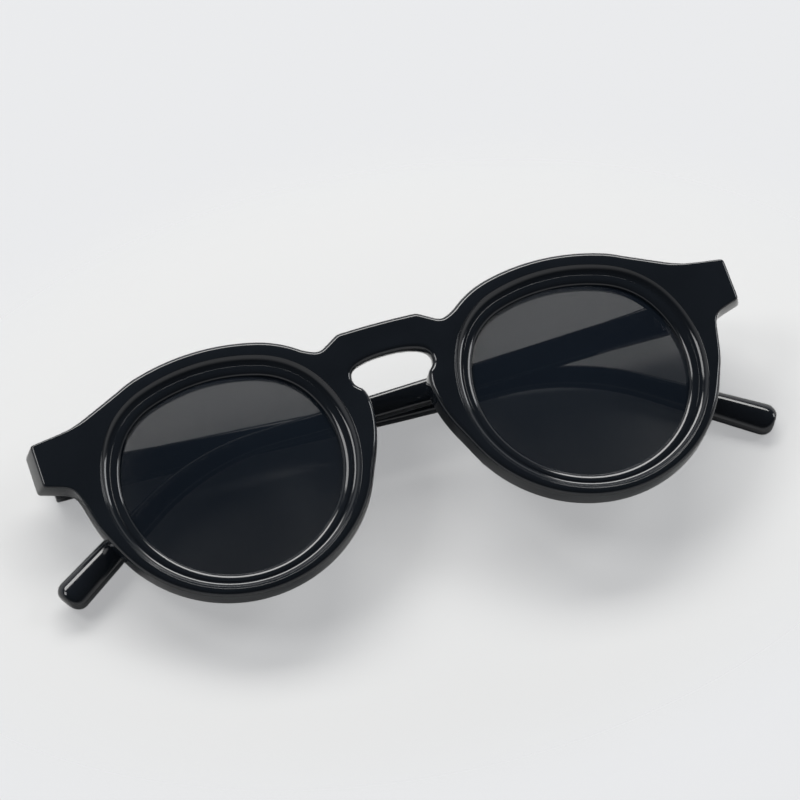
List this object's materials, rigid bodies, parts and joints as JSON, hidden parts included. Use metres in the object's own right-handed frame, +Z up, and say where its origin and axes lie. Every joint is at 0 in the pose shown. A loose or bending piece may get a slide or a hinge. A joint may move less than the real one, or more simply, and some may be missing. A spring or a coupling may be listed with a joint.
{
  "type": "sunglasses",
  "caption": "Folding round sunglasses: thick glossy acetate front with stepped rims and keyhole bridge, smoke lenses, two curved temples on barrel hinges.",
  "frame": {"origin": "middle of the resting glasses' bounding box, at the height of the surface they lie on", "axes": "+X along the width of the front, +Y towards the brow edge, +Z up, out of the lenses"},
  "size_m": [0.1506, 0.0528, 0.0219],
  "materials": {
    "acetate": "polished black acetate",
    "pad": "polished black acetate",
    "lens": "dark smoke tint, glossy",
    "hinge": "satin nickel silver look",
    "screw": "polished",
    "wire": "drawn"
  },
  "bodies": {
    "front": {"frame_front": "acetate", "nose_pad_left": "pad", "nose_pad_right": "pad", "lens_left": "lens", "lens_right": "lens", "hinge_front_leaf_left": "hinge", "hinge_front_leaf_right": "hinge", "front_pin_inner_left": "hinge", "front_pin_inner_right": "hinge", "front_pin_outer_left": "hinge", "front_pin_outer_right": "hinge", "hinge_screw_left": "screw", "hinge_screw_right": "screw"},
    "left_arm": {"temple_left": "acetate", "hinge_temple_leaf_left": "hinge", "temple_pin_near_left": "hinge", "temple_pin_far_left": "hinge", "core_wire_left": "wire"},
    "right_arm": {"temple_right": "acetate", "hinge_temple_leaf_right": "hinge", "temple_pin_near_right": "hinge", "temple_pin_far_right": "hinge", "core_wire_right": "wire"}
  },
  "joints": [
    {"name": "temple_left_hinge", "type": "hinge", "parent": "front", "child": "left_arm", "pos_m": [-0.06732, 0.01241, 0.00529], "axis": [-0.0056, 0.9927, 0.1207], "range_deg": [0, 90.5]},
    {"name": "temple_right_hinge", "type": "hinge", "parent": "front", "child": "right_arm", "pos_m": [0.06703, 0.01241, 0.01148], "axis": [0.0056, -0.9927, -0.1207], "range_deg": [0, 93.9]}
  ]
}
